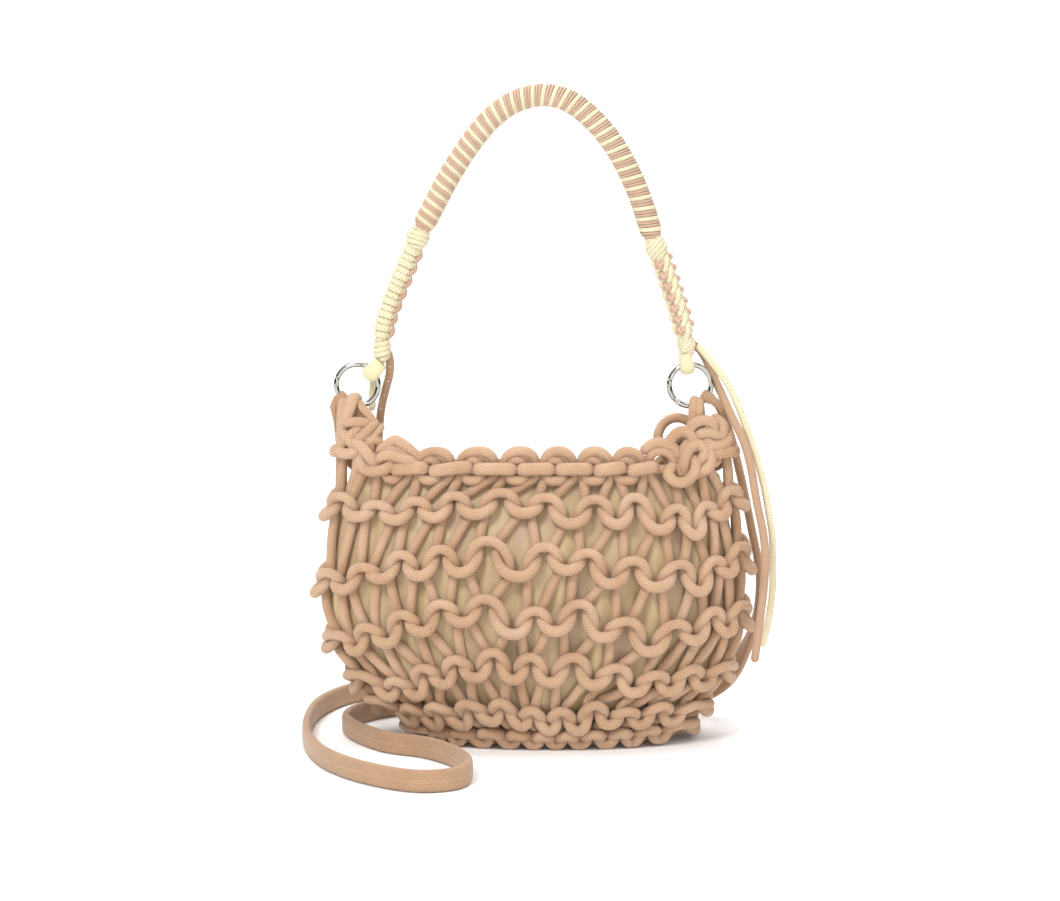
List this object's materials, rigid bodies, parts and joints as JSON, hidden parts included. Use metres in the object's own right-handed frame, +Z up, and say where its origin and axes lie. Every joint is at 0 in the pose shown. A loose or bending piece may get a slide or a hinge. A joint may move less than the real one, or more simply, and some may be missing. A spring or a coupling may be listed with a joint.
{
  "type": "knitted cord shoulder bag",
  "caption": "Open-knit shoulder bag of thick cord round a cloth pouch, with a wound handle on spring gate rings, a flat crossbody strap and hanging cord tails.",
  "frame": {"origin": "on the floor, on the bag's flat underside, below the middle of its widest section", "axes": "+X to the bag's right as seen from the front, +Y towards its back, +Z up"},
  "size_m": [0.3336, 0.2872, 0.4601],
  "materials": {
    "cord": "braided cotton cord, dusty pink tan, matt",
    "cream": "pale cream braided cord, matt",
    "braid": "cream and pink cords wound and braided together",
    "pouch": "beige satin lining cloth, soft sheen",
    "strap": "flat tube of knitted cotton, dusty tan",
    "metal": "polished nickel plate"
  },
  "bodies": {
    "bag": {"net_body": "cord", "rim_chain": "cord", "inner_pouch": "pouch", "ring_left": "metal", "ring_right": "metal", "loop_left": "cream", "loop_right": "cream", "wrap_lower_left": "cream", "wrap_lower_right": "cream", "wrap_upper_left": "cream", "wrap_upper_right": "cream", "braid_left": "braid", "braid_right": "braid", "handle_grip": "braid", "tab_left": "cord", "tab_right": "cord", "strap_loop_left": "strap", "strap_loop_right": "strap", "tail_cream_right": "cream", "tail_pink_right": "cord", "tail_cream_left": "cream", "tail_pink_left": "cord", "strap": "strap"},
    "gate_left": {"gate_left": "metal"},
    "gate_right": {"gate_right": "metal"}
  },
  "joints": [
    {"name": "gate_left_hinge", "type": "hinge", "parent": "bag", "child": "gate_left", "pos_m": [-0.11703, 0, 0.26454], "axis": [0, -1, 0], "range_deg": [0, 20], "stiffness_Nm_per_rad": 0.02, "springref_deg": -17.19},
    {"name": "gate_right_hinge", "type": "hinge", "parent": "bag", "child": "gate_right", "pos_m": [0.10061, 0, 0.23965], "axis": [0, 1, 0], "range_deg": [0, 20], "stiffness_Nm_per_rad": 0.02, "springref_deg": -17.19}
  ]
}
